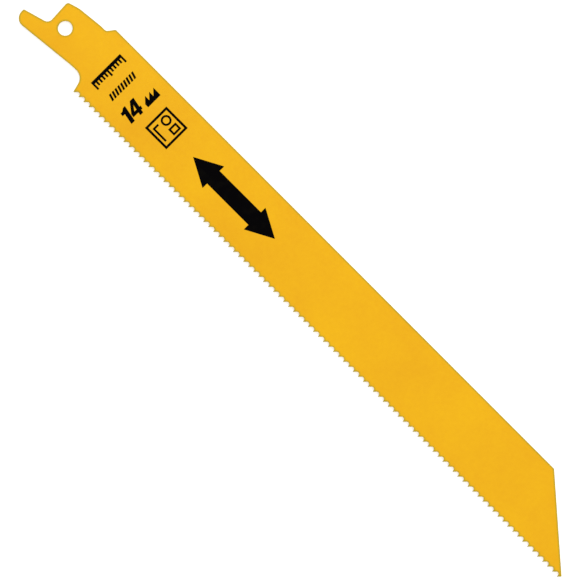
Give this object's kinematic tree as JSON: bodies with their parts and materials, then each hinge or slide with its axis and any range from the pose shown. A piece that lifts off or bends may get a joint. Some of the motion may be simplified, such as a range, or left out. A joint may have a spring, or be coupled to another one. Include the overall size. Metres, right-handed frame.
{
  "type": "reciprocating saw blade",
  "caption": "Flat steel reciprocating saw blade with fine metal-cutting teeth, a sloped tip and a canted tang with a locating hole.",
  "frame": {"origin": "centre of the tang hole, half way through the sheet", "axes": "+X from the tang to the tip, +Y from the teeth to the back edge, +Z out of the printed face"},
  "size_m": [0.2008, 0.019, 0.0012],
  "materials": {
    "coating": "satin baked enamel on a hardened steel sheet, thin along the edges and teeth",
    "print": "black pad-printed ink on the enamel"
  },
  "bodies": {
    "root": {"blade": "coating"}
  },
  "joints": []
}
